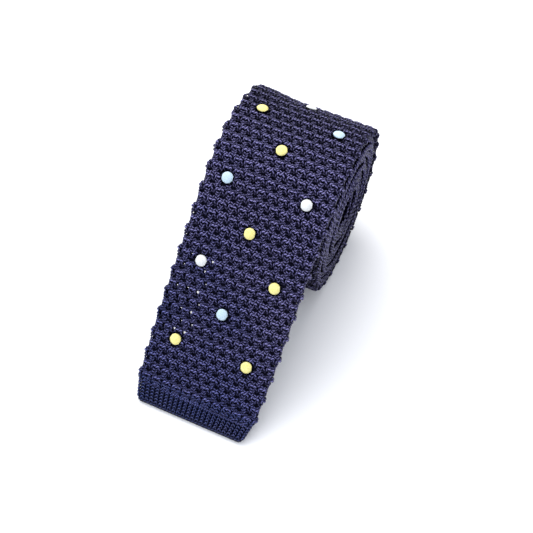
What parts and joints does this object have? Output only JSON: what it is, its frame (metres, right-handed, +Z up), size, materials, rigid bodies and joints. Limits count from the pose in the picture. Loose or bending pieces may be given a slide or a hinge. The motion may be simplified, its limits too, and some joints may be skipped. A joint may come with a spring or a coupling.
{
  "type": "rolled knit tie",
  "caption": "Knitted necktie rolled up from its tail and set down, its square-ended front blade sloping off the roll to the table, with small raised embroidered spots.",
  "frame": {"origin": "on the table, below the centre of the rolled tie's bounding box", "axes": "+Y from the front hem towards the roll, +X across the tie to its wearer's left when worn, +Z up from the table"},
  "size_m": [0.0572, 0.14, 0.0743],
  "materials": {
    "knit_body": "navy honeycomb knit of lustrous yarn",
    "knit_hem": "navy plain knit, finer than the body",
    "thread_yellow": "yellow satin-stitched thread",
    "thread_white": "white satin-stitched thread",
    "thread_blue": "light blue satin-stitched thread"
  },
  "bodies": {
    "root": {"front_hem": "knit_hem", "front_blade": "knit_body", "neck_band": "knit_body", "tail_blade": "knit_body", "tail_hem": "knit_hem", "spot_01_left": "thread_yellow", "spot_01_right": "thread_yellow", "spot_02_middle": "thread_blue", "spot_03_left": "thread_white", "spot_03_right": "thread_yellow", "spot_04_middle": "thread_yellow", "spot_05_left": "thread_blue", "spot_05_right": "thread_white", "spot_06_middle": "thread_yellow", "spot_07_left": "thread_yellow", "spot_07_right": "thread_blue", "spot_08_middle": "thread_white", "spot_09_left": "thread_yellow", "spot_09_right": "thread_yellow", "spot_10_middle": "thread_blue", "spot_11_left": "thread_white", "spot_11_right": "thread_yellow", "spot_12_middle": "thread_yellow", "spot_14_middle": "thread_yellow", "spot_15_left": "thread_yellow", "spot_15_right": "thread_blue", "spot_16_middle": "thread_white"}
  },
  "joints": []
}
